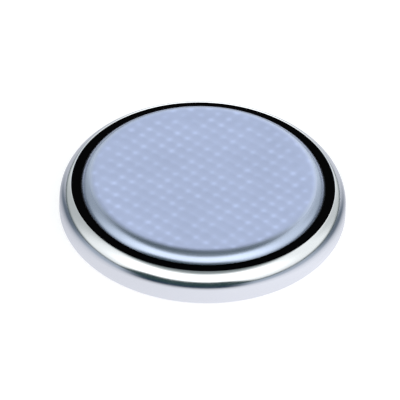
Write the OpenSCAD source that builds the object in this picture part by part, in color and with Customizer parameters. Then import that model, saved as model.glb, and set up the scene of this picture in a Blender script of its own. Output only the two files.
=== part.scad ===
// Lithium manganese dioxide coin cell, 20 mm across and 3.2 mm high, negative face up.
// The origin is the middle of the positive face, and +Z points out of the negative face.
// Every piece is turned about the Z axis, so each one is a section in (radius, height).

/* [Cell] */
// Outside diameter of the cell
cell_d = 20; // [18:0.1:24]
// Height over the two contact faces
cell_h = 3.2; // [3:0.05:4]
// Thickness of the film of sealant between the gasket and the metal, which is left open
film_t = 0.02; // [0.01:0.005:0.03]

/* [Positive can] */
// Thickness of the can's steel sheet
can_t = 0.25; // [0.2:0.01:0.28]
// Outside radius of the bend between the can's base and its wall
can_base_r = 0.5; // [0.4:0.05:0.7]
// Outside radius of the shoulder where the rim is crimped over the gasket
crimp_r = 1.55; // [1.45:0.05:1.65]
// Angle that the crimp turns the rim through, from upright
crimp_angle = 60; // [57:1:64]
// Depth of the shoulder's start, where the wall stops being straight, below the negative face
shoulder_drop = 2.01; // [1.9:0.01:2.1]

/* [Sealing gasket] */
// Thickness of the gasket's outer wall, between the can and the cap
gasket_wall_t = 0.32; // [0.28:0.01:0.4]
// Thickness of the gasket's floor, under the cap's hem
gasket_floor_t = 0.35; // [0.25:0.01:0.45]
// Thickness of the gasket's inner leg, inside the cap's hem
gasket_leg_t = 0.35; // [0.25:0.01:0.45]
// Height of the inner leg above the can's floor
gasket_leg_h = 1; // [0.8:0.05:1.2]
// Depth of the gasket's exposed face below the edge of the rim
gasket_sink = 0.02; // [0.01:0.01:0.1]
// Radius on the moulded edges of the gasket
gasket_edge_r = 0.05; // [0.04:0.01:0.1]

/* [Negative cap] */
// Thickness of the cap's steel sheet
cap_t = 0.25; // [0.2:0.01:0.28]
// Outside radius of the bend between the negative face and the cap's upper wall
cap_edge_r = 1.1; // [0.9:0.05:1.2]
// Height of the straight part of the cap's upper wall, between that bend and the step
cap_wall_h = 0.05; // [0.02:0.01:0.2]
// Width of the step between the cap's upper wall and its skirt
step_w = 0.46; // [0.44:0.01:0.55]
// Radius of the step's upper bend, which is hollow on the outside
step_upper_r = 0.12; // [0.1:0.01:0.14]
// Slit between the two layers of the cap's folded hem
hem_slit = 0.06; // [0.04:0.01:0.08]

/* [Electrodes] */
// Thickness of the lithium disc
anode_t = 0.65; // [0.5:0.05:0.75]
// Space between the lithium disc and the start of the bend in the cap
anode_edge_gap = 0.05; // [0.05:0.05:0.5]
// Thickness of the separator
separator_t = 0.25; // [0.15:0.01:0.3]
// Space between the separator and the cap's upper wall
separator_edge_gap = 0.1; // [0.05:0.05:0.3]
// Chamfer on the upper edge of the cathode pellet
pellet_chamfer = 0.15; // [0.05:0.01:0.25]
// Thickness of the steel of the ring that holds the pellet
ring_t = 0.1; // [0.08:0.01:0.14]
// Width of the ring's foot, under the pellet
ring_foot_w = 1.1; // [0.8:0.05:1.5]
// Height of the ring's collar, round the pellet
ring_collar_h = 1; // [0.6:0.05:1.2]
// Outside radius of the bend between the ring's foot and its collar
ring_bend_r = 0.2; // [0.16:0.01:0.25]
// Space between the ring and the gasket's inner leg
ring_edge_gap = 0.35; // [0.1:0.05:0.5]

/* [Hidden] */
$fn = 144;
// How far a rounded corner's cutter runs past the corner
spill = 0.04;

// Can and its crimp: the shoulder's centre, and the direction of the rim's end from it
cell_r = cell_d / 2;
crimp_c = [cell_r - crimp_r, cell_h - shoulder_drop];
rim_dir = [cos(crimp_angle), sin(crimp_angle)];
gasket_z = crimp_c[1] + crimp_r * rim_dir[1] - gasket_sink;

// Cap: radii of the outside of its hem, of the skirt within the hem, and of its upper wall
hem_r = cell_r - can_t - gasket_wall_t - 2 * film_t;
skirt_r = hem_r - cap_t - hem_slit;
cap_wall_r = skirt_r - step_w;

// Cap: the bend at its edge, and the step, an S-bend that takes up its whole width
edge_c = [cap_wall_r - cap_edge_r, cell_h - cap_edge_r];
ledge_z = edge_c[1] - cap_wall_h - step_upper_r;
step_lower_r = step_w - step_upper_r;
skirt_z = ledge_z - step_lower_r;
hem_turn_r = hem_slit / 2 + cap_t;
hem_c = [skirt_r + hem_slit / 2, can_t + gasket_floor_t + film_t + hem_turn_r];

// Gasket's inner leg, between these two radii
leg_outer_r = skirt_r - cap_t - film_t;
leg_inner_r = leg_outer_r - gasket_leg_t;

// Stack of electrodes, from the cap downwards
anode_z = cell_h - cap_t - anode_t;
separator_z = anode_z - separator_t;
ring_r = leg_inner_r - ring_edge_gap;
pellet_r = ring_r - ring_t - film_t;
seat_r = ring_r - ring_foot_w - film_t;
seat_bend_r = ring_bend_r - ring_t;

// Rectangle between the corners a and b
module block(a, b) {
    translate(a) square(b - a);
}

// Disc of radius r about c, without most of its lower half, which rounds an upper corner
module round_top(c, r) {
    keep = r / 4;
    intersection() {
        translate(c) circle(r);
        block(c - [r, keep], c + [r, r]);
    }
}

// What lies between a square corner at p and an arc of radius r, on the side that dir points to.
// It runs past the corner a little, so that it leaves no sliver where it cuts and none where it fills.
module spandrel(p, r, dir) {
    difference() {
        translate(p + (r - spill) * dir / 2) square(r + spill, center = true);
        translate(p + r * dir) circle(r);
    }
}

// Everything within the can's outer face and the full round of its shoulder, drawn in by inset
module can_outline(inset) {
    wall_r = cell_r - inset;
    base_r = can_base_r - inset;
    shoulder_r = crimp_r - inset;
    block([0, can_base_r], [wall_r, crimp_c[1]]);
    block([0, inset], [wall_r - base_r, crimp_c[1]]);
    block([0, inset], [crimp_c[0], crimp_c[1] + shoulder_r]);
    translate([wall_r - base_r, can_base_r]) circle(base_r);
    round_top(crimp_c, shoulder_r);
}

// Everything within the cap's outer face, grown by a distance, down to the height foot_z
module cap_outline(grow, foot_z) {
    wall_r = cap_wall_r + grow;
    step_c = [skirt_r - step_lower_r, skirt_z];
    block([0, foot_z], [wall_r, edge_c[1]]);
    block([0, foot_z], [edge_c[0], cell_h + grow]);
    round_top(edge_c, cap_edge_r + grow);
    block([0, foot_z], [skirt_r + grow, step_c[1]]);
    block([0, foot_z], [step_c[0], ledge_z + grow]);
    round_top(step_c, step_lower_r + grow);
    spandrel([wall_r, ledge_z + grow], step_upper_r - grow, [1, 1]);
}

// Both layers of the hem and the slit between them, grown by a distance
module hem_outline(grow) {
    half = hem_turn_r + grow;
    block([hem_c[0] - half, hem_c[1]], [hem_c[0] + half, skirt_z + abs(grow)]);
    translate(hem_c) circle(half);
}

// Everything on the mouth's side of the end of the crimped rim, drawn in by a gap
module mouth(gap) {
    reach = 2 * cell_h;
    corner = crimp_c + gap * [-rim_dir[1], rim_dir[0]];
    polygon([corner, corner + reach * rim_dir, [0, reach], [0, can_t], [corner[0], can_t]]);
}

// Deep-drawn steel cup, whose rim is crimped over the gasket. Its base is the positive contact.
module positive_can() {
    color("lightgray") rotate_extrude() difference() {
        can_outline(0);
        can_outline(can_t);
        mouth(0);
    }
}

// Moulded ring that fills the space between the can and the cap, and wraps the cap's hem
module sealing_gasket() {
    edge = gasket_edge_r;
    shore_r = crimp_c[0] + ((gasket_z - crimp_c[1]) * rim_dir[0] - film_t) / rim_dir[1];
    leg_z = can_t + gasket_leg_h;
    color("#101012") rotate_extrude() difference() {
        union() {
            can_outline(can_t + film_t);
            block([leg_inner_r, can_t], [cell_r - can_base_r, crimp_c[1]]);
            mouth(film_t);
        }
        block([0, 0], [leg_inner_r, cell_h]);
        block([0, gasket_z], [cell_d, cell_d]);
        cap_outline(film_t, leg_z);
        hem_outline(film_t);
        spandrel([shore_r, gasket_z], edge, [-1, -1]);
        spandrel([leg_inner_r, leg_z], edge, [1, -1]);
        spandrel([leg_outer_r, leg_z], edge, [-1, -1]);
    }
}

// Pressed steel cap with a stepped wall and a folded hem. Its flat face is the negative contact.
module negative_cap() {
    color("silver") rotate_extrude() {
        difference() {
            cap_outline(0, hem_c[1]);
            cap_outline(-cap_t, 0);
        }
        difference() {
            hem_outline(0);
            hem_outline(-cap_t);
        }
    }
}

// Punched disc of lithium, pressed against the inside of the cap
module lithium_anode() {
    color("gainsboro")
        translate([0, 0, anode_z])
            cylinder(r = edge_c[0] - anode_edge_gap, h = anode_t);
}

// Disc of non-woven cloth, soaked with electrolyte, between the two electrodes
module separator() {
    color("white")
        translate([0, 0, separator_z])
            cylinder(r = cap_wall_r - cap_t - separator_edge_gap, h = separator_t);
}

// Tablet of pressed manganese dioxide and carbon, seated in its ring
module cathode_pellet() {
    seat_z = can_t + ring_t;
    color("#1c1c1e") rotate_extrude()
        polygon([[0, can_t], [seat_r, can_t], [seat_r, seat_z],
                 [pellet_r - seat_bend_r, seat_z], [pellet_r, seat_z + seat_bend_r],
                 [pellet_r, separator_z - pellet_chamfer],
                 [pellet_r - pellet_chamfer, separator_z], [0, separator_z]]);
}

// Thin L-shaped ring that holds the pellet and carries current from it to the can
module cathode_ring() {
    bend_r = ring_bend_r;
    color("darkgray") rotate_extrude() difference() {
        block([ring_r - ring_foot_w, can_t], [ring_r, can_t + ring_collar_h]);
        block([0, can_t + ring_t], [ring_r - bend_r, cell_h]);
        block([0, can_t + bend_r], [ring_r - ring_t, cell_h]);
        translate([ring_r - bend_r, can_t + bend_r]) circle(seat_bend_r);
        spandrel([ring_r, can_t], bend_r, [-1, 1]);
    }
}

positive_can();
sealing_gasket();
negative_cap();
lithium_anode();
separator();
cathode_pellet();
cathode_ring();
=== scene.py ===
"""Lithium coin cell, 20 mm across and 3.2 mm high: its looks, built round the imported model."""

import logging
import math
from abc import ABC, abstractmethod
from collections.abc import Callable
from dataclasses import dataclass, field
from enum import Enum

import bpy
from mathutils import Matrix, Vector


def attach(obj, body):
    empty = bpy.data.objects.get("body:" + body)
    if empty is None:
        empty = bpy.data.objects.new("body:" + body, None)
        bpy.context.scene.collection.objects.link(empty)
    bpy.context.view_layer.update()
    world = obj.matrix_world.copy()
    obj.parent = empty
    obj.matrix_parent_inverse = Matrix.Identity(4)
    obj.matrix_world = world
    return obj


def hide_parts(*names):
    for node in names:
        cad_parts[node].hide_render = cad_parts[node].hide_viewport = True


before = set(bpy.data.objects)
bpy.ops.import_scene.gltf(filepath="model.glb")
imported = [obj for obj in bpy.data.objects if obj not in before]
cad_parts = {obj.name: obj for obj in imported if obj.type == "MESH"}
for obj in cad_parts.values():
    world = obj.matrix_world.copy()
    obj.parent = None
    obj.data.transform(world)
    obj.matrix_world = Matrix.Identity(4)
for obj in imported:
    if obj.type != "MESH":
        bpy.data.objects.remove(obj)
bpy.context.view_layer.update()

LOG = logging.getLogger("coin_cell")
MM = 0.001
WHITE = (1, 1, 1, 1)

# Points closer than this, in metres, become one: in a drawn section, and in a spun sheet
SECTION_MERGE = 1e-7
SHEET_MERGE = 1e-6
# Edges of a sheet that turn by more than this are broken, and those that turn by less are shaded smooth
CUT_DEGREES = 60
SMOOTH_DEGREES = 35

# Nearly all of a noise texture's values lie between these two
NOISE_ENDS = (0.3, 0.7)

# Radius in millimetres of what lies under the cell, and its number of sides
STAGE_R = 300
STAGE_SIDES = 96
# Directions in the flat: to the viewer, to the middle of the dark line, and to the two rear corners
FRONT = (0, -1, 0)
DARK_AIM = (-0.17, -0.985, 0)
REAR_LEFT = (-0.64, 0.77, 0)
REAR_RIGHT = (0.64, 0.77, 0)


def linear(code: str) -> tuple[float, float, float, float]:
    """Turns an sRGB colour into the linear colour that a shader takes.

    Args:
        code: The colour as six hex digits after a hash sign.

    Returns:
        Red, green, blue and an alpha of 1.
    """
    parts = [int(code[i:i + 2], 16) / 255 for i in (1, 3, 5)]
    red, green, blue = (p / 12.92 if p <= 0.04045 else ((p + 0.055) / 1.055) ** 2.4 for p in parts)
    return red, green, blue, 1.0


def feed(tree: bpy.types.NodeTree, socket: bpy.types.NodeSocket, value: object) -> None:
    """Gives an input its value: a link from another node's output, or a fixed value.

    Args:
        tree: The node tree that holds the input.
        socket: The input.
        value: An output socket, a number, or several numbers.
    """
    if isinstance(value, bpy.types.NodeSocket):
        tree.links.new(value, socket)
    else:
        socket.default_value = value


def add_node(tree: bpy.types.NodeTree, kind: str, inputs: dict | None = None, **settings) -> bpy.types.Node:
    """Adds one node with its settings, its fixed values and its links.

    Args:
        tree: The node tree that takes the node.
        kind: The node's type, such as "ShaderNodeMath".
        inputs: A value or another node's output socket for each input, by name or number.
        **settings: The node's own properties.

    Returns:
        The new node.
    """
    node = tree.nodes.new(kind)
    for name, value in settings.items():
        setattr(node, name, value)
    for key, value in (inputs or {}).items():
        feed(tree, node.inputs[key], value)
    return node


def combine(
    tree: bpy.types.NodeTree, operation: str, *parts: bpy.types.NodeSocket | float
) -> bpy.types.NodeSocket:
    """Joins several values by one operation.

    Args:
        tree: The node tree that takes the nodes.
        operation: The operation, such as "ADD" or "MULTIPLY".
        *parts: Sockets or numbers.

    Returns:
        The result's output.
    """
    result = parts[0]
    for part in parts[1:]:
        result = add_node(tree, "ShaderNodeMath", {0: result, 1: part}, operation=operation).outputs[0]
    return result


def spread(
    tree: bpy.types.NodeTree, socket: bpy.types.NodeSocket, low: float, high: float,
    ends: tuple[float, float] = NOISE_ENDS, curve: str = "LINEAR",
) -> bpy.types.NodeSocket:
    """Maps the values between two ends onto a new range, and holds those beyond them.

    Args:
        tree: The node tree that takes the node.
        socket: The value that is read.
        low: The result at the first end.
        high: The result at the second end.
        ends: The two values of the socket.
        curve: How the result runs between them, "LINEAR" or "SMOOTHSTEP".

    Returns:
        The result's output.
    """
    node = add_node(
        tree, "ShaderNodeMapRange",
        {"Value": socket, "From Min": ends[0], "From Max": ends[1], "To Min": low, "To Max": high},
        interpolation_type=curve,
    )
    return node.outputs["Result"]


def mask(
    tree: bpy.types.NodeTree, socket: bpy.types.NodeSocket, ends: tuple[float, float]
) -> bpy.types.NodeSocket:
    """Makes a soft mask.

    Args:
        tree: The node tree that takes the node.
        socket: The value that is read.
        ends: The value at which the mask is 0, and the one at which it is 1.

    Returns:
        The mask's output.
    """
    return spread(tree, socket, 0, 1, ends, "SMOOTHSTEP")


def dimming(tree: bpy.types.NodeTree, zone: bpy.types.NodeSocket, amount: float) -> bpy.types.NodeSocket:
    """Turns a mask into a factor for a brightness.

    Args:
        tree: The node tree that takes the nodes.
        zone: The mask.
        amount: How much of the brightness goes where the mask is 1.

    Returns:
        The output that holds the factor, which is 1 where the mask is 0.
    """
    return combine(tree, "ADD", combine(tree, "MULTIPLY", zone, -amount), 1)


def agreement(
    tree: bpy.types.NodeTree, way: bpy.types.NodeSocket, aim: tuple[float, float, float]
) -> bpy.types.NodeSocket:
    """Measures how well a direction agrees with a fixed one.

    Args:
        tree: The node tree that takes the node.
        way: The direction that is read.
        aim: The direction that it is held against.

    Returns:
        The output that holds the cosine of the angle between the two.
    """
    node = add_node(tree, "ShaderNodeVectorMath", {0: way, 1: aim}, operation="DOT_PRODUCT")
    return node.outputs["Value"]


def blank_tree(owner: bpy.types.Material | bpy.types.World) -> bpy.types.NodeTree:
    """Gives a material or a world an empty node tree."""
    owner.use_nodes = True
    owner.node_tree.nodes.clear()
    return owner.node_tree


def dress(obj: bpy.types.Object, material: bpy.types.Material) -> None:
    """Puts one material on all of an object."""
    obj.data.materials.clear()
    obj.data.materials.append(material)


def only(obj: bpy.types.Object) -> None:
    """Makes obj the one selected and active object."""
    bpy.ops.object.select_all(action="DESELECT")
    obj.select_set(True)
    bpy.context.view_layer.objects.active = obj


def select_points(obj: bpy.types.Object, test: Callable[[Vector], bool]) -> None:
    """Selects an object's points by their place, and leaves it in edit mode.

    Args:
        obj: The object.
        test: Says of a place in metres whether the point there is wanted.
    """
    bpy.ops.object.mode_set(mode="OBJECT")
    only(obj)
    bpy.ops.object.mode_set(mode="EDIT")
    bpy.ops.mesh.select_mode(type="VERT")
    bpy.ops.mesh.select_all(action="DESELECT")
    bpy.ops.object.mode_set(mode="OBJECT")
    for point in obj.data.vertices:
        point.select = test(point.co)
    bpy.ops.object.mode_set(mode="EDIT")


def face_middle(obj: bpy.types.Object, looks_up: bool) -> None:
    """Turns a sheet's faces over where the middle one looks the wrong way.

    Args:
        obj: The sheet, whose faces agree with each other.
        looks_up: Whether the faces in the middle look up, or down.
    """
    middle = min(obj.data.polygons, key=lambda face: face.center.xy.length)
    if (middle.normal.z > 0) != looks_up:
        only(obj)
        bpy.ops.object.mode_set(mode="EDIT")
        bpy.ops.mesh.select_all(action="SELECT")
        bpy.ops.mesh.flip_normals()
        bpy.ops.object.mode_set(mode="OBJECT")


def thicken(obj: bpy.types.Object, thickness: float, edge: float) -> None:
    """Gives a spun sheet its thickness on the inside, and breaks its cut edges.

    Args:
        obj: The spun sheet.
        thickness: The sheet's thickness in millimetres.
        edge: The width of the broken edge in millimetres.
    """
    only(obj)
    solid = obj.modifiers.new("sheet", "SOLIDIFY")
    solid.thickness = thickness * MM
    solid.offset = -1
    solid.use_even_offset = True
    bpy.ops.object.modifier_apply(modifier=solid.name)
    rim = obj.modifiers.new("edge", "BEVEL")
    rim.width = edge * MM
    rim.segments = 2
    rim.limit_method = "ANGLE"
    rim.angle_limit = math.radians(CUT_DEGREES)
    bpy.ops.object.modifier_apply(modifier=rim.name)
    bpy.ops.object.shade_smooth_by_angle(angle=math.radians(SMOOTH_DEGREES))


class Turning(Enum):
    """Which way round a bend's centre the sheet turns, in the section of radius and height."""

    ANTICLOCKWISE = 1
    CLOCKWISE = -1


@dataclass
class Section:
    """A wire section in the plane of radius and height, drawn run by run and then spun round Z.

    All lengths are in millimetres.
    """

    name: str
    start: tuple[float, float]
    sides: int = 256
    obj: bpy.types.Object = field(init=False)
    end: Vector = field(init=False)

    def __post_init__(self) -> None:
        """Puts down the section's first point: a small plane, merged to its middle."""
        bpy.ops.object.select_all(action="DESELECT")
        radius, height = self.start
        bpy.ops.mesh.primitive_plane_add(size=MM, location=(radius * MM, 0, height * MM))
        self.obj = bpy.context.object
        self.obj.name = self.name
        bpy.ops.object.transform_apply(location=True, rotation=True, scale=True)
        bpy.ops.object.mode_set(mode="EDIT")
        bpy.ops.mesh.select_mode(type="VERT")
        bpy.ops.mesh.merge(type="CENTER")
        self.end = Vector((radius, height))

    def run(self, radius: float, height: float) -> None:
        """Draws a straight run of the sheet.

        Args:
            radius: Radius at the run's end.
            height: Height at the run's end.
        """
        step = Vector((radius, height)) - self.end
        shift = {"value": (step.x * MM, 0, step.y * MM)}
        bpy.ops.mesh.extrude_region_move(TRANSFORM_OT_translate=shift)
        self.end = Vector((radius, height))

    def bend(self, centre: tuple[float, float], degrees: float, turning: Turning, steps: int) -> None:
        """Bends the sheet round a centre.

        Args:
            centre: The bend's centre, as radius and height.
            degrees: The angle that the bend turns through.
            turning: Which way round it goes.
            steps: The number of short straights that stand for the bend.
        """
        axis = (0, turning.value, 0)
        middle = (centre[0] * MM, 0, centre[1] * MM)
        bpy.ops.mesh.spin(steps=steps, angle=math.radians(degrees), center=middle, axis=axis)
        arm = self.end - Vector(centre)
        self.end = Vector(centre) + Matrix.Rotation(math.radians(degrees * turning.value), 2) @ arm

    def spin(self, looks_up: bool) -> bpy.types.Object:
        """Spins the finished section all the way round Z and closes the seam.

        Args:
            looks_up: Whether the faces in the middle look up, or down.

        Returns:
            The spun sheet, without a thickness.
        """
        bpy.ops.mesh.select_all(action="SELECT")
        bpy.ops.mesh.remove_doubles(threshold=SECTION_MERGE)
        bpy.ops.mesh.spin(steps=self.sides, angle=math.tau, center=(0, 0, 0), axis=(0, 0, 1))
        bpy.ops.mesh.select_all(action="SELECT")
        bpy.ops.mesh.remove_doubles(threshold=SHEET_MERGE)
        bpy.ops.mesh.normals_make_consistent(inside=False)
        bpy.ops.object.mode_set(mode="OBJECT")
        face_middle(self.obj, looks_up)
        return self.obj


@dataclass
class Surface:
    """A material while it is built: its nodes, its Principled shader and the object's coordinates."""

    name: str
    metallic: float
    material: bpy.types.Material = field(init=False)
    tree: bpy.types.NodeTree = field(init=False)
    shader: bpy.types.Node = field(init=False)
    place: bpy.types.NodeSocket = field(init=False)

    def __post_init__(self) -> None:
        """Makes the material with its shader and output."""
        self.material = bpy.data.materials.new(self.name)
        self.tree = blank_tree(self.material)
        self.shader = add_node(self.tree, "ShaderNodeBsdfPrincipled", {"Metallic": self.metallic})
        add_node(self.tree, "ShaderNodeOutputMaterial", {"Surface": self.shader.outputs["BSDF"]})
        self.place = add_node(self.tree, "ShaderNodeTexCoord").outputs["Object"]

    def set(self, name: str, value: object) -> None:
        """Gives one of the shader's inputs a fixed value or a link."""
        feed(self.tree, self.shader.inputs[name], value)

    def noise(
        self, per_m: float, detail: float, roughness: float = 0.5,
        vector: bpy.types.NodeSocket | None = None,
    ) -> bpy.types.NodeSocket:
        """Adds a noise texture.

        Args:
            per_m: Its repeats per metre, or per unit of the vector.
            detail: How many finer layers it has.
            roughness: How strong the finer layers are.
            vector: The coordinates that it is drawn in, if they aren't the object's own.

        Returns:
            The output that holds its values.
        """
        inputs = {"Vector": vector or self.place, "Scale": per_m, "Detail": detail, "Roughness": roughness}
        return add_node(self.tree, "ShaderNodeTexNoise", inputs).outputs["Fac"]

    def tone(self, colour: object, value: bpy.types.NodeSocket) -> None:
        """Sets the base colour, lighter in some places and darker in others.

        Args:
            colour: The colour, as an output socket or as red, green, blue and alpha.
            value: The factor for its brightness, which varies over the surface.
        """
        node = add_node(self.tree, "ShaderNodeHueSaturation", {"Value": value, "Color": colour})
        self.set("Base Color", node.outputs["Color"])

    def relief(self, height: bpy.types.NodeSocket, depth_mm: float) -> None:
        """Gives the surface a fine relief, drawn by its shading alone.

        Args:
            height: The texture that says how high each place is.
            depth_mm: The depth of the relief in millimetres.
        """
        inputs = {"Height": height, "Strength": 1, "Distance": depth_mm * MM}
        self.set("Normal", add_node(self.tree, "ShaderNodeBump", inputs).outputs["Normal"])


@dataclass(frozen=True)
class Finish(ABC):
    """What every finish shares: a name for the real material and how it was made."""

    name: str

    @abstractmethod
    def material(self) -> bpy.types.Material:
        """Builds the material.

        Returns:
            The finished material.
        """


@dataclass(frozen=True)
class DrawnSteel(Finish):
    """Stainless strip, deep drawn and tumbled bright.

    The eye sees a mirror with a faint haze, and fine marks that the crimping rolls left round the cell.
    Real roll marks are a few micrometres wide, so they are drawn ten times as coarse to show at all.
    """

    name: str = "Stainless steel, deep drawn and tumbled bright"
    colour: str = "#E6E8EA"
    roughness: float = 0.14
    haze_below: float = 0.03
    haze_above: float = 0.04
    haze_per_m: float = 450
    mark_mm: float = 0.05
    mark_depth_mm: float = 0.0006
    mark_round_per_m: float = 120

    def mark_vector(self, surface: Surface) -> bpy.types.NodeSocket:
        """Coordinates for marks that run round the cell and change quickly along its section.

        Args:
            surface: The material while it is built.

        Returns:
            The vector socket that a texture takes.
        """
        tree = surface.tree
        split = add_node(tree, "ShaderNodeSeparateXYZ", {0: surface.place})
        flat = add_node(tree, "ShaderNodeCombineXYZ", {0: split.outputs[0], 1: split.outputs[1]})
        radius = add_node(tree, "ShaderNodeVectorMath", {0: flat.outputs[0]}, operation="LENGTH")
        along = combine(tree, "SUBTRACT", split.outputs[2], radius.outputs["Value"])
        fast = combine(tree, "MULTIPLY", along, 1 / (self.mark_mm * MM))
        slow = add_node(
            tree, "ShaderNodeVectorMath", {0: flat.outputs[0], "Scale": self.mark_round_per_m},
            operation="SCALE",
        )
        up = add_node(tree, "ShaderNodeCombineXYZ", {2: fast})
        both = add_node(tree, "ShaderNodeVectorMath", {0: slow.outputs[0], 1: up.outputs[0]}, operation="ADD")
        return both.outputs[0]

    def material(self) -> bpy.types.Material:
        """Builds the material.

        Returns:
            The finished material.
        """
        surface = Surface(self.name, metallic=1)
        surface.set("Base Color", linear(self.colour))
        haze = surface.noise(self.haze_per_m, detail=4)
        low, high = self.roughness - self.haze_below, self.roughness + self.haze_above
        surface.set("Roughness", spread(surface.tree, haze, low, high))
        marks = surface.noise(1, detail=3, roughness=0.6, vector=self.mark_vector(surface))
        surface.relief(marks, self.mark_depth_mm)
        return surface.material


@dataclass(frozen=True)
class Lattice:
    """The embossing's square lattice: its pitch in millimetres, and its turn from the X axis in degrees."""

    pitch: float = 0.89
    turn: float = 53

    def steps(self, place: Vector) -> Vector:
        """Measures a place in pitches along the lattice's two directions.

        Args:
            place: A place in metres.

        Returns:
            How many pitches it lies from the cell's axis, along each direction.
        """
        return Matrix.Rotation(-math.radians(self.turn), 2) @ place.xy / (self.pitch * MM)


@dataclass(frozen=True)
class EmbossedSteel(Finish):
    """Stainless strip with a matt face that the press embossed with a fine diagonal lattice.

    The eye sees an even blue-grey sheen on the face with a soft lattice of dots, and a smoother rounded edge.
    The dots are a painted
    highlight: the colour is brightened on the peaks between the dimples, some more and some less. A fine
    grain makes the face matt.
    """

    name: str = "Stainless steel, pressed and matt embossed"
    colour: str = "#B9C4E3"
    edge_colour: str = "#BAC5DA"
    face_roughness: float = 0.46
    edge_roughness: float = 0.26
    flat_ends_mm: tuple[float, float] = (8.0, 7.6)
    lattice: Lattice = Lattice()
    # Painted highlight on the lattice's peaks: its strength, its sharpness, the colour's level between the
    # peaks, and how it varies by patch
    dot_contrast: float = 0.14
    dot_sharpness: float = 3
    dot_base: float = 0.97
    highlight_patch_per_m: float = 700
    highlight_patch_ends: tuple[float, float] = (0.35, 0.65)
    highlight_patch_share: float = 0.7
    cloud_per_m: float = 300
    cloud_contrast: float = 0.03
    grain_mm: float = 0.11
    grain_depth_mm: float = 0.0013

    def on_face(self, surface: Surface) -> bpy.types.NodeSocket:
        """Marks the flat face.

        Args:
            surface: The material while it is built.

        Returns:
            A mask that is 1 on the face and 0 on the rounded edge.
        """
        tree = surface.tree
        flat = add_node(tree, "ShaderNodeVectorMath", {0: surface.place, 1: (1, 1, 0)}, operation="MULTIPLY")
        radius = add_node(tree, "ShaderNodeVectorMath", {0: flat.outputs[0]}, operation="LENGTH")
        start, end = (part * MM for part in self.flat_ends_mm)
        return mask(tree, radius.outputs["Value"], (start, end))

    def dots(self, surface: Surface, on_face: bpy.types.NodeSocket) -> bpy.types.NodeSocket:
        """Paints a highlight on the peaks of the lattice by brightening the colour there, some more and some
        less.

        Args:
            surface: The material while it is built.
            on_face: The mask of the face.

        Returns:
            The factor for the steel's colour.
        """
        tree = surface.tree
        turned = add_node(
            tree, "ShaderNodeMapping",
            {"Vector": surface.place, "Rotation": (0, 0, math.radians(-self.lattice.turn)),
             "Scale": (math.tau / (self.lattice.pitch * MM),) * 3},
        )
        split = add_node(tree, "ShaderNodeSeparateXYZ", {0: turned.outputs[0]})
        waves = [
            add_node(tree, "ShaderNodeMath", {0: split.outputs[i]}, operation="COSINE").outputs[0]
            for i in (0, 1)
        ]
        lattice = combine(tree, "MULTIPLY", combine(tree, "ADD", *waves), on_face)
        # Two waves of height 1 add up to a value between -2 and 2
        peaks = combine(tree, "POWER", spread(tree, lattice, 0, 1, ends=(-2, 2)), self.dot_sharpness)
        low, high = (self.dot_contrast * (1 + sign * self.highlight_patch_share) for sign in (-1, 1))
        # Painted highlight: how strongly the peaks are brightened varies from patch to patch
        peak_highlight = spread(tree, surface.noise(self.highlight_patch_per_m, detail=2), low, high, self.highlight_patch_ends)
        return combine(tree, "ADD", combine(tree, "MULTIPLY", peaks, peak_highlight), self.dot_base)

    def material(self) -> bpy.types.Material:
        """Builds the material.

        Returns:
            The finished material.
        """
        surface = Surface(self.name, metallic=1)
        tree = surface.tree
        on_face = self.on_face(surface)
        steel = add_node(
            tree, "ShaderNodeMix",
            {"Factor": on_face, "A": linear(self.edge_colour), "B": linear(self.colour)},
            data_type="RGBA",
        )
        low, high = 1 - self.cloud_contrast, 1 + self.cloud_contrast
        clouds = spread(tree, surface.noise(self.cloud_per_m, detail=4), low, high)
        # The steel's colour carries random clouds and the painted highlight on the lattice's peaks
        surface.tone(steel.outputs["Result"], combine(tree, "MULTIPLY", clouds, self.dots(surface, on_face)))
        rough = spread(tree, on_face, self.edge_roughness, self.face_roughness, ends=(0, 1))
        surface.set("Roughness", rough)
        grain = surface.noise(1 / (self.grain_mm * MM), detail=3, roughness=0.7)
        surface.relief(grain, self.grain_depth_mm)
        return surface.material


@dataclass(frozen=True)
class Granular(Finish):
    """A plain finish with one even grain in its colour, gloss and relief.

    It serves foil, cloth, pressed powder and thin strip, which are told apart by their values.
    """

    colour: str
    metallic: float
    roughness: float
    grain_mm: float
    relief_mm: float
    contrast: float
    roughness_range: float = 0.05

    def material(self) -> bpy.types.Material:
        """Builds the material.

        Returns:
            The finished material.
        """
        surface = Surface(self.name, metallic=self.metallic)
        grain = surface.noise(1 / (self.grain_mm * MM), detail=4)
        tone = spread(surface.tree, grain, 1 - self.contrast, 1 + self.contrast)
        surface.tone(linear(self.colour), tone)
        low, high = self.roughness - self.roughness_range, self.roughness + self.roughness_range
        surface.set("Roughness", spread(surface.tree, grain, low, high))
        surface.relief(grain, self.relief_mm)
        return surface.material


@dataclass(frozen=True)
class MouldedPlastic(Finish):
    """Black polypropylene from a smooth mould.

    The eye sees a deep black with hardly a highlight, and a very faint unevenness of the mould.
    """

    name: str = "Polypropylene, black, injection moulded"
    colour: str = "#030304"
    refraction: float = 1.49
    specular: float = 0.005
    roughness: float = 0.38
    roughness_range: float = 0.05
    skin_per_m: float = 2500
    skin_depth_mm: float = 0.003

    def material(self) -> bpy.types.Material:
        """Builds the material.

        Returns:
            The finished material.
        """
        surface = Surface(self.name, metallic=0)
        surface.set("Base Color", linear(self.colour))
        surface.set("IOR", self.refraction)
        surface.set("Specular IOR Level", self.specular)
        skin = surface.noise(self.skin_per_m, detail=3)
        low, high = self.roughness - self.roughness_range, self.roughness + self.roughness_range
        surface.set("Roughness", spread(surface.tree, skin, low, high))
        surface.relief(skin, self.skin_depth_mm)
        return surface.material


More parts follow.
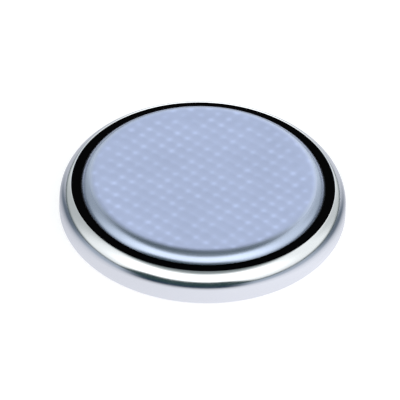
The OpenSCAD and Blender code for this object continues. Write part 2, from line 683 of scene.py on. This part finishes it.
@dataclass
class PositiveCan:
    """Deep-drawn cup with its rim crimped over the gasket. All sizes are in millimetres."""

    wall_r: float = 10
    thickness: float = 0.25
    edge_break: float = 0.02
    base_bend_r: float = 0.5
    crimp_r: float = 1.55
    crimp_z: float = 1.19
    crimp_degrees: float = 60
    finish: DrawnSteel = DrawnSteel()

    def build(self) -> bpy.types.Object:
        """Models and dresses the can.

        Returns:
            The can, which stands for its solid.
        """
        low = self.base_bend_r
        base_c = (self.wall_r - low, low)
        crimp_c = (self.wall_r - self.crimp_r, self.crimp_z)
        section = Section("can_steel_shell", (0, 0))
        section.run(self.wall_r - low, 0)
        section.bend(base_c, degrees=90, turning=Turning.ANTICLOCKWISE, steps=12)
        section.run(self.wall_r, self.crimp_z)
        section.bend(crimp_c, degrees=self.crimp_degrees, turning=Turning.ANTICLOCKWISE, steps=26)
        can = section.spin(looks_up=False)
        thicken(can, self.thickness, self.edge_break)
        dress(can, self.finish.material())
        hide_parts("positive_can")
        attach(can, "root")
        return can


@dataclass
class NegativeCap:
    """Pressed cap with an embossed face, a stepped wall and a folded hem. All sizes are in millimetres."""

    height: float = 3.2
    thickness: float = 0.25
    edge_break: float = 0.02
    wall_r: float = 8.62
    edge_r: float = 1.1
    step_upper_c: tuple[float, float] = (8.74, 2.05)
    step_lower_c: tuple[float, float] = (8.74, 1.59)
    skirt_r: float = 9.08
    hem_c: tuple[float, float] = (9.11, 0.9)
    lattice: Lattice = Lattice()
    grid_steps: int = 6
    face_r: float = 7.32
    face_ring_r: float = 7.5
    dimple_depth: float = 0.014
    reach: float = 0.62
    finish: EmbossedSteel = EmbossedSteel()

    def embossed_face(self) -> bpy.types.Object:
        """Models the middle of the negative face: a fine grid with a dimple in each square of the lattice.

        Returns:
            The sheet, with a ragged edge just inside the ring that it is joined to.
        """
        step = self.lattice.pitch / self.grid_steps
        count = 2 * math.ceil(self.face_r / step)
        bpy.ops.object.select_all(action="DESELECT")
        bpy.ops.mesh.primitive_grid_add(
            x_subdivisions=count, y_subdivisions=count, size=count * step * MM,
            location=(0, 0, self.height * MM), rotation=(0, 0, math.radians(self.lattice.turn)),
        )
        face = bpy.context.object
        bpy.ops.object.transform_apply(location=True, rotation=True, scale=True)
        select_points(face, lambda place: place.xy.length > self.face_r * MM)
        bpy.ops.mesh.delete(type="VERT")
        select_points(face, lambda place: True)
        bpy.ops.mesh.delete_loose(use_verts=True, use_edges=True, use_faces=False)
        last_r = self.face_r - self.reach
        select_points(face, lambda place: self.is_dimple(place) and place.xy.length < last_r * MM)
        bpy.ops.transform.translate(
            value=(0, 0, -self.dimple_depth * MM), use_proportional_edit=True,
            proportional_edit_falloff="INVERSE_SQUARE", proportional_size=self.reach * MM,
        )
        bpy.ops.object.mode_set(mode="OBJECT")
        return face

    def is_dimple(self, place: Vector) -> bool:
        """Says whether a place is the middle of a square of the lattice, to a quarter of a grid step."""
        return all(abs(part % 1 - 0.5) < 0.25 / self.grid_steps for part in self.lattice.steps(place))

    def close_face(self, cap: bpy.types.Object) -> None:
        """Joins the embossed face to the spun ring round it, and fills the gap between them.

        Args:
            cap: The spun sheet, open in the middle.
        """
        face = self.embossed_face()
        only(cap)
        face.select_set(True)
        bpy.ops.object.join()
        bpy.ops.object.mode_set(mode="EDIT")
        bpy.ops.mesh.select_mode(type="EDGE")
        bpy.ops.mesh.select_all(action="DESELECT")
        bpy.ops.mesh.select_non_manifold()
        bpy.ops.object.mode_set(mode="OBJECT")
        points = cap.data.vertices
        bend_z = (self.height - self.edge_r) * MM
        for edge in cap.data.edges:
            edge.select = edge.select and all(points[i].co.z > bend_z for i in edge.vertices)
        bpy.ops.object.mode_set(mode="EDIT")
        bpy.ops.mesh.fill(use_beauty=True)
        bpy.ops.mesh.select_all(action="SELECT")
        bpy.ops.mesh.normals_make_consistent(inside=False)
        bpy.ops.object.mode_set(mode="OBJECT")

    def build(self) -> bpy.types.Object:
        """Models and dresses the cap.

        Returns:
            The cap, which stands for its solid.
        """
        edge_c = (self.wall_r - self.edge_r, self.height - self.edge_r)
        hem_r = 2 * self.hem_c[0] - self.skirt_r
        section = Section("cap_steel_shell", (self.face_ring_r, self.height))
        section.run(edge_c[0], self.height)
        section.bend(edge_c, degrees=90, turning=Turning.CLOCKWISE, steps=20)
        section.run(self.wall_r, self.step_upper_c[1])
        section.bend(self.step_upper_c, degrees=90, turning=Turning.ANTICLOCKWISE, steps=6)
        section.bend(self.step_lower_c, degrees=90, turning=Turning.CLOCKWISE, steps=10)
        section.run(self.skirt_r, self.hem_c[1])
        section.bend(self.hem_c, degrees=180, turning=Turning.ANTICLOCKWISE, steps=8)
        section.run(hem_r, self.step_lower_c[1])
        cap = section.spin(looks_up=True)
        self.close_face(cap)
        face_middle(cap, looks_up=True)
        thicken(cap, self.thickness, self.edge_break)
        dress(cap, self.finish.material())
        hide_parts("negative_cap")
        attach(cap, "root")
        return cap


@dataclass
class InnerParts:
    """The gasket and the electrode stack, whose solids are already right and only take their finishes."""

    finishes: dict[str, Finish] = field(default_factory=lambda: {
        "sealing_gasket": MouldedPlastic(),
        # A dull silver sheet with the faint, shallow dents of soft foil
        "lithium_anode": Granular(
            "Lithium foil, rolled and punched", "#E2E2E0",
            metallic=1, roughness=0.45, grain_mm=0.4, relief_mm=0.004, contrast=0.05,
        ),
        # A white cloth with a fine felted grain and no shine. Its fibres are too fine to draw one by one
        "separator": Granular(
            "Polypropylene cloth, non-woven", "#F0F0EC",
            metallic=0, roughness=0.85, grain_mm=0.12, relief_mm=0.02, contrast=0.08,
        ),
        # A coarse, mottled, near-black tablet
        "cathode_pellet": Granular(
            "Manganese dioxide and carbon, pressed powder", "#26262A",
            metallic=0, roughness=0.8, grain_mm=0.15, relief_mm=0.015, contrast=0.2,
        ),
        # A plain grey strip with a soft shine
        "cathode_ring": Granular(
            "Stainless strip, rolled and plain", "#C9CCCE",
            metallic=1, roughness=0.3, grain_mm=0.25, relief_mm=0.002, contrast=0.03,
        ),
    })

    def build(self) -> list[bpy.types.Object]:
        """Dresses the solids.

        Returns:
            The solids' objects.
        """
        nodes = [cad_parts[name] for name in self.finishes]
        for node, finish in zip(nodes, self.finishes.values()):
            dress(node, finish.material())
        return nodes


def disc(name: str, middle: tuple[float, float, float]) -> bpy.types.Object:
    """Adds a flat round sheet for the cell to lie on.

    Args:
        name: The sheet's name.
        middle: Its middle in millimetres.

    Returns:
        The sheet.
    """
    bpy.ops.object.select_all(action="DESELECT")
    place = [part * MM for part in middle]
    bpy.ops.mesh.primitive_circle_add(
        vertices=STAGE_SIDES, radius=STAGE_R * MM, fill_type="NGON", location=place
    )
    sheet = bpy.context.object
    sheet.name = name
    return sheet


@dataclass(frozen=True)
class Floor:
    """Round pale sheet under the cell, white to the camera and with the cell's soft shadow on it.

    In the steel it shows as a painted reflection: a glow that is a little brighter on the right than on the
    left. Sizes are in millimetres.
    """

    paper: str = "#C8C8C8"
    camera_lift: float = 0.6
    # The painted reflection: its colour, its levels from left to right, and how far across the ramp runs
    sheen: str = "#F0F1FA"
    sheen_levels: tuple[float, float] = (0.95, 1.15)
    sheen_reach: float = 10

    def build(self) -> None:
        """Makes the sheet."""
        material = bpy.data.materials.new("Paper, white, matt")
        tree = blank_tree(material)
        path = add_node(tree, "ShaderNodeLightPath").outputs
        mirrored = combine(tree, "MAXIMUM", path["Is Glossy Ray"], path["Is Transmission Ray"])
        lift = combine(tree, "MULTIPLY", path["Is Camera Ray"], self.camera_lift)
        paper = add_node(tree, "ShaderNodeBsdfDiffuse", {"Color": linear(self.paper)})
        glow = add_node(tree, "ShaderNodeEmission", {"Color": WHITE, "Strength": lift})
        seen = add_node(tree, "ShaderNodeAddShader", {0: paper.outputs[0], 1: glow.outputs[0]})
        # Painted reflection: seen only in the steel, the sheet glows a little brighter on the right than on
        # the left
        place = add_node(tree, "ShaderNodeTexCoord").outputs["Object"]
        across = add_node(tree, "ShaderNodeSeparateXYZ", {0: place}).outputs[0]
        reach = self.sheen_reach * MM
        level = spread(tree, across, *self.sheen_levels, ends=(-reach, reach))
        sheen = add_node(tree, "ShaderNodeEmission", {"Color": linear(self.sheen), "Strength": level})
        mix = add_node(tree, "ShaderNodeMixShader", {0: mirrored, 1: seen.outputs[0], 2: sheen.outputs[0]})
        add_node(tree, "ShaderNodeOutputMaterial", {"Surface": mix.outputs[0]})
        floor = disc("floor_sheet", (0, 0, 0))
        dress(floor, material)


@dataclass(frozen=True)
class DarkCard:
    """Dark card round the cell, which shows only in the steel: a painted reflection that draws the dark line
    at the crimp's foot.

    It fades out towards the cell. At the sides it glows paler, and at the rear the sheet shows through it.
    It is no lamp and casts no shadow: its dark tone and its paler sides are a painted reflection.
    Sizes are in millimetres. A zone's two ends are cosines of the angle to its direction, where it
    starts and where it is full.
    """

    middle: tuple[float, float, float] = (0, -4, 0.02)
    fade: tuple[float, float] = (9, 16)
    tone: str = "#22384A"
    glow: str = "#E8F0FF"
    side_glow: float = 0.5
    side_zone: tuple[float, float] = (0.9, 0.62)
    back_dim: float = 0.7
    back_zone: tuple[float, float] = (0.2, -0.3)
    rear_gap: float = 0.6
    rear_zone: tuple[float, float] = (-0.42, -0.75)

    def build(self) -> None:
        """Makes the card."""
        material = bpy.data.materials.new("Card, glowing, painted reflection")
        tree = blank_tree(material)
        place = add_node(tree, "ShaderNodeTexCoord").outputs["Object"]
        radius = add_node(tree, "ShaderNodeVectorMath", {0: place}, operation="LENGTH").outputs["Value"]
        way = add_node(tree, "ShaderNodeVectorMath", {0: place}, operation="NORMALIZE").outputs[0]
        ahead = agreement(tree, way, FRONT)
        start, end = (part * MM for part in self.fade)
        rear = dimming(tree, mask(tree, ahead, self.rear_zone), self.rear_gap)
        cover = combine(tree, "MULTIPLY", spread(tree, radius, 0, 1, ends=(start, end)), rear)
        # Painted reflection: a pale glow at the sides, dimmer towards the rear
        sides = mask(tree, agreement(tree, way, DARK_AIM), self.side_zone)
        back = dimming(tree, mask(tree, ahead, self.back_zone), self.back_dim)
        pale = combine(tree, "MULTIPLY", sides, back, self.side_glow)
        glow = add_node(tree, "ShaderNodeEmission", {"Color": linear(self.glow), "Strength": pale})
        # Painted reflection: the dark tone of the line in the steel
        dark = add_node(tree, "ShaderNodeEmission", {"Color": linear(self.tone), "Strength": 1})
        both = add_node(tree, "ShaderNodeAddShader", {0: glow.outputs[0], 1: dark.outputs[0]})
        clear = add_node(tree, "ShaderNodeBsdfTransparent")
        mix = add_node(tree, "ShaderNodeMixShader", {0: cover, 1: clear.outputs[0], 2: both.outputs[0]})
        add_node(tree, "ShaderNodeOutputMaterial", {"Surface": mix.outputs[0]})
        card = disc("painted_reflection_card", self.middle)
        dress(card, material)
        card.visible_camera = False
        card.visible_diffuse = False
        card.visible_shadow = False


@dataclass(frozen=True)
class Tent:
    """White tent that lights the cell: lighter in front, dimmer in the rear corners, open overhead.

    Angles are in degrees. A zone's two ends are cosines of the angle to its direction, where it starts
    and where it is full, and a rise's two ends are angles above the horizon.
    """

    level: float = 1.0
    horizon_soft: float = 9
    dark_rise: float = 17
    dark_zone: tuple[float, float] = (0.6, 0.9)
    front_light: float = 0.65
    front_zone: tuple[float, float] = (0.0, 0.7)
    front_rise: tuple[float, float] = (8, 30)
    back_light: float = 0.42
    back_zone: tuple[float, float] = (-0.7, -0.97)
    left_dim: float = 0.5
    left_zone: tuple[float, float] = (0.6, 0.95)
    right_dim: float = 0.38
    right_zone: tuple[float, float] = (0.8, 0.97)
    right_rise: tuple[float, float] = (45, 28)
    opening_tilt: float = 4.5
    opening_degrees: float = 32.5
    opening_soft: float = 8
    opening_shade: float = 0.86
    room_tone: str = "#304648"

    def light(self, tree: bpy.types.NodeTree) -> bpy.types.NodeSocket:
        """Works out how bright the tent is in each direction.

        Args:
            tree: The world's node tree.

        Returns:
            The output that holds the strength.
        """
        way = add_node(tree, "ShaderNodeTexCoord").outputs["Generated"]
        up = add_node(tree, "ShaderNodeSeparateXYZ", {0: way}).outputs[2]
        rise = add_node(tree, "ShaderNodeMath", {0: up}, operation="ARCSINE").outputs[0]
        flat = add_node(tree, "ShaderNodeVectorMath", {0: way, 1: (1, 1, 0)}, operation="MULTIPLY")
        level = add_node(tree, "ShaderNodeVectorMath", {0: flat.outputs[0]}, operation="NORMALIZE").outputs[0]
        ahead = agreement(tree, level, FRONT)

        def above(ends: tuple[float, float]) -> bpy.types.NodeSocket:
            """Masks by the angle above the horizon."""
            return mask(tree, rise, (math.radians(ends[0]), math.radians(ends[1])))

        def zone(aim: tuple[float, float, float], ends: tuple[float, float]) -> bpy.types.NodeSocket:
            """Masks by the angle to a direction in the flat."""
            return mask(tree, agreement(tree, level, aim), ends)

        front = combine(
            tree, "MULTIPLY", mask(tree, ahead, self.front_zone), above(self.front_rise), self.front_light
        )
        back = combine(tree, "MULTIPLY", mask(tree, ahead, self.back_zone), self.back_light)
        left = combine(tree, "MULTIPLY", zone(REAR_LEFT, self.left_zone), -self.left_dim)
        right = combine(
            tree, "MULTIPLY", zone(REAR_RIGHT, self.right_zone), above(self.right_rise), -self.right_dim
        )
        glow = combine(tree, "ADD", front, back, left, right, self.level)

        foot = combine(tree, "MULTIPLY", zone(DARK_AIM, self.dark_zone), math.radians(self.dark_rise))
        wall = mask(tree, combine(tree, "SUBTRACT", rise, foot), (0, math.radians(self.horizon_soft)))

        tilt = math.radians(self.opening_tilt)
        overhead = agreement(tree, way, (0, math.sin(tilt), math.cos(tilt)))
        outer, inner = (
            math.cos(math.radians(self.opening_degrees + soft))
            for soft in (self.opening_soft, -self.opening_soft)
        )
        opening = dimming(tree, mask(tree, overhead, (outer, inner)), self.opening_shade)
        return combine(tree, "MULTIPLY", wall, glow, opening)

    def build(self) -> None:
        """Makes the world: the tent and the dim room behind it, and plain white to the camera."""
        world = bpy.data.worlds.new("soft_tent")
        tree = blank_tree(world)
        tent = add_node(tree, "ShaderNodeBackground", {"Color": WHITE, "Strength": self.light(tree)})
        room = add_node(tree, "ShaderNodeBackground", {"Color": linear(self.room_tone), "Strength": 1})
        lit = add_node(tree, "ShaderNodeAddShader", {0: tent.outputs[0], 1: room.outputs[0]})
        white = add_node(tree, "ShaderNodeBackground", {"Color": WHITE, "Strength": 1})
        seen = add_node(tree, "ShaderNodeLightPath").outputs["Is Camera Ray"]
        mix = add_node(tree, "ShaderNodeMixShader", {0: seen, 1: lit.outputs[0], 2: white.outputs[0]})
        add_node(tree, "ShaderNodeOutputWorld", {"Surface": mix.outputs[0]})
        bpy.context.scene.world = world


@dataclass(frozen=True)
class ProductCamera:
    """Camera at the photographed angle. Sizes are in millimetres, angles in degrees, places in pixels."""

    elevation: float = 39.9
    roll: float = 2.1
    distance: float = 1200
    sensor: float = 36
    nearest: float = 10
    px_per_mm: float = 14.33
    frame_px: float = 400
    cell_px: tuple[float, float] = (202.8, 196.1)
    cell_mid_z: float = 1.6

    def build(self) -> None:
        """Puts the camera where the cell lands in the frame as it does in the photo."""
        lens = bpy.data.cameras.new("product_view")
        lens.sensor_width = self.sensor
        lens.lens = self.sensor * self.distance * self.px_per_mm / self.frame_px
        lens.clip_start = self.nearest * MM
        camera = bpy.data.objects.new("product_view", lens)
        bpy.context.collection.objects.link(camera)
        turn = Matrix.Rotation(math.radians(90 - self.elevation), 4, "X")
        turn = turn @ Matrix.Rotation(math.radians(self.roll), 4, "Z")
        across = (self.cell_px[0] - self.frame_px / 2) / self.px_per_mm
        up = (self.frame_px / 2 - self.cell_px[1]) / self.px_per_mm
        back = turn @ Vector((-across, -up, self.distance))
        place = (Vector((0, 0, self.cell_mid_z)) + back) * MM
        camera.matrix_world = Matrix.Translation(place) @ turn
        bpy.context.scene.camera = camera


@dataclass
class Studio:
    """Everything round the cell: the floor, the dark card, the light and the camera."""

    floor: Floor = Floor()
    card: DarkCard = DarkCard()
    tent: Tent = Tent()
    camera: ProductCamera = ProductCamera()

    def build(self) -> None:
        """Sets up the studio."""
        for part in (self.floor, self.card, self.tent, self.camera):
            part.build()
        bpy.context.scene.view_settings.view_transform = "Standard"


def main() -> None:
    """Builds the cell and its studio, and reports each piece."""
    logging.basicConfig(level=logging.INFO, format="%(name)s: %(message)s")
    pieces = [PositiveCan().build(), NegativeCap().build(), *InnerParts().build()]
    Studio().build()
    for piece in pieces:
        LOG.info("%s: %d faces", piece.name, len(piece.data.polygons))


if __name__ == "__main__":
    main()
